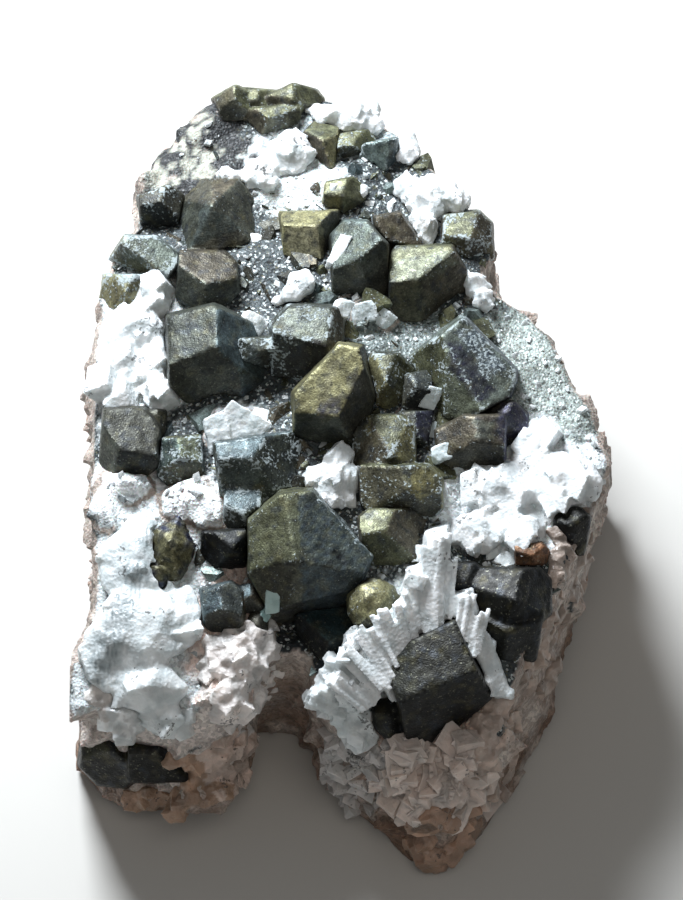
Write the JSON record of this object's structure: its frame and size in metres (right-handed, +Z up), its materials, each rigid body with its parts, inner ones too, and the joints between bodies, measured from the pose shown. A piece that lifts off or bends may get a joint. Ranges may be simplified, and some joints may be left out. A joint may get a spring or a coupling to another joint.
{
  "type": "tetrahedrite mineral specimen",
  "caption": "Cabinet specimen of tarnished grey-bronze tetrahedrite crystals crowded on white calcite matrix, with a notched front edge that leaves two blunt feet.",
  "frame": {"origin": "on the flat foot that the specimen stands on, near the middle of its plan", "axes": "+Z up from the foot, +Y towards the narrow far end, +X to the right seen from the notched front; the specimen's length runs along Y"},
  "size_m": [0.074, 0.114, 0.0484],
  "materials": {
    "vein_rock": "matt, granular, stained pinkish brown on the walls",
    "tetrahedrite": "sub-metallic, grey to bronze, with a thin tarnish",
    "calcite": "white, slightly translucent, satin",
    "pyrite": "granular, brassy metallic",
    "iron_stained_calcite": "vitreous, stained orange brown"
  },
  "bodies": {
    "root": {"matrix": "vein_rock", "tetrahedrite_far_crest": "tetrahedrite", "tetrahedrite_olive_blade": "tetrahedrite", "tetrahedrite_grained_ledge": "tetrahedrite", "tetrahedrite_pale_wedge": "tetrahedrite", "tetrahedrite_olive_knob": "tetrahedrite", "tetrahedrite_upper_left": "tetrahedrite", "tetrahedrite_left_edge_far": "tetrahedrite", "tetrahedrite_left_edge": "tetrahedrite", "tetrahedrite_olive_square": "tetrahedrite", "tetrahedrite_centre_far": "tetrahedrite", "tetrahedrite_brown_table": "tetrahedrite", "tetrahedrite_right_far": "tetrahedrite", "tetrahedrite_right_rim": "tetrahedrite", "tetrahedrite_left_hero": "tetrahedrite", "tetrahedrite_crusted": "tetrahedrite", "tetrahedrite_brassy_blade": "tetrahedrite", "tetrahedrite_brassy_round": "tetrahedrite", "tetrahedrite_right_hero": "tetrahedrite", "tetrahedrite_right_group": "tetrahedrite", "tetrahedrite_small_dark": "tetrahedrite", "tetrahedrite_centre": "tetrahedrite", "tetrahedrite_ridge_brown": "tetrahedrite", "tetrahedrite_great": "tetrahedrite", "tetrahedrite_ball": "tetrahedrite", "tetrahedrite_recess": "tetrahedrite", "tetrahedrite_block": "tetrahedrite", "tetrahedrite_right_shoulder": "tetrahedrite", "tetrahedrite_right_edge": "tetrahedrite", "tetrahedrite_left_dark": "tetrahedrite", "tetrahedrite_teal": "tetrahedrite", "tetrahedrite_dusted": "tetrahedrite", "tetrahedrite_shadowed": "tetrahedrite", "tetrahedrite_silvery": "tetrahedrite", "tetrahedrite_foot_speck": "tetrahedrite", "tetrahedrite_lower_left": "tetrahedrite", "iron_stained_crystal": "iron_stained_calcite", "pyrite_patch": "pyrite", "calcite_domes": "calcite", "calcite_far_right": "calcite", "calcite_right_point": "calcite", "calcite_bright": "calcite", "calcite_ball": "calcite", "calcite_ball_cluster": "calcite", "calcite_right_notch": "calcite", "calcite_left_ledge": "calcite", "calcite_left_foot": "calcite", "calcite_star": "calcite", "calcite_right_mass": "calcite", "calcite_blades": "calcite", "calcite_right_foot": "calcite", "calcite_blade_right": "calcite"}
  },
  "joints": []
}
